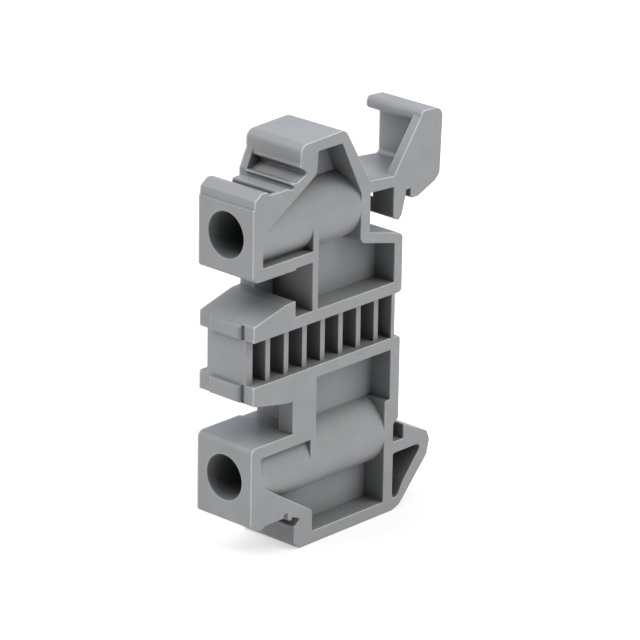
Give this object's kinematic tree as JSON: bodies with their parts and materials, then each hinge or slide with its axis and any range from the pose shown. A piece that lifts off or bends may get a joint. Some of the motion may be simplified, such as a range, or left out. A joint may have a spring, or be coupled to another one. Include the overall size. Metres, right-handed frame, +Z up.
{
  "type": "terminal block spacer",
  "caption": "Moulded spacer for rail-mounted terminal blocks: pocketed frame with screw bores, ribbed middle band, marker grooves, fixed hook and spring foot for a top-hat rail.",
  "frame": {"origin": "on the rail seat, at the rail's centre line and at half the part's thickness", "axes": "+X from the front face to the rail, +Y along the rail (thickness), +Z up, from the fixed hook to the spring foot"},
  "size_m": [0.036, 0.0098, 0.056],
  "materials": {
    "grey_plastic": "matte moulded polyamide"
  },
  "bodies": {
    "root": {"spacer_body": "grey_plastic"}
  },
  "joints": []
}
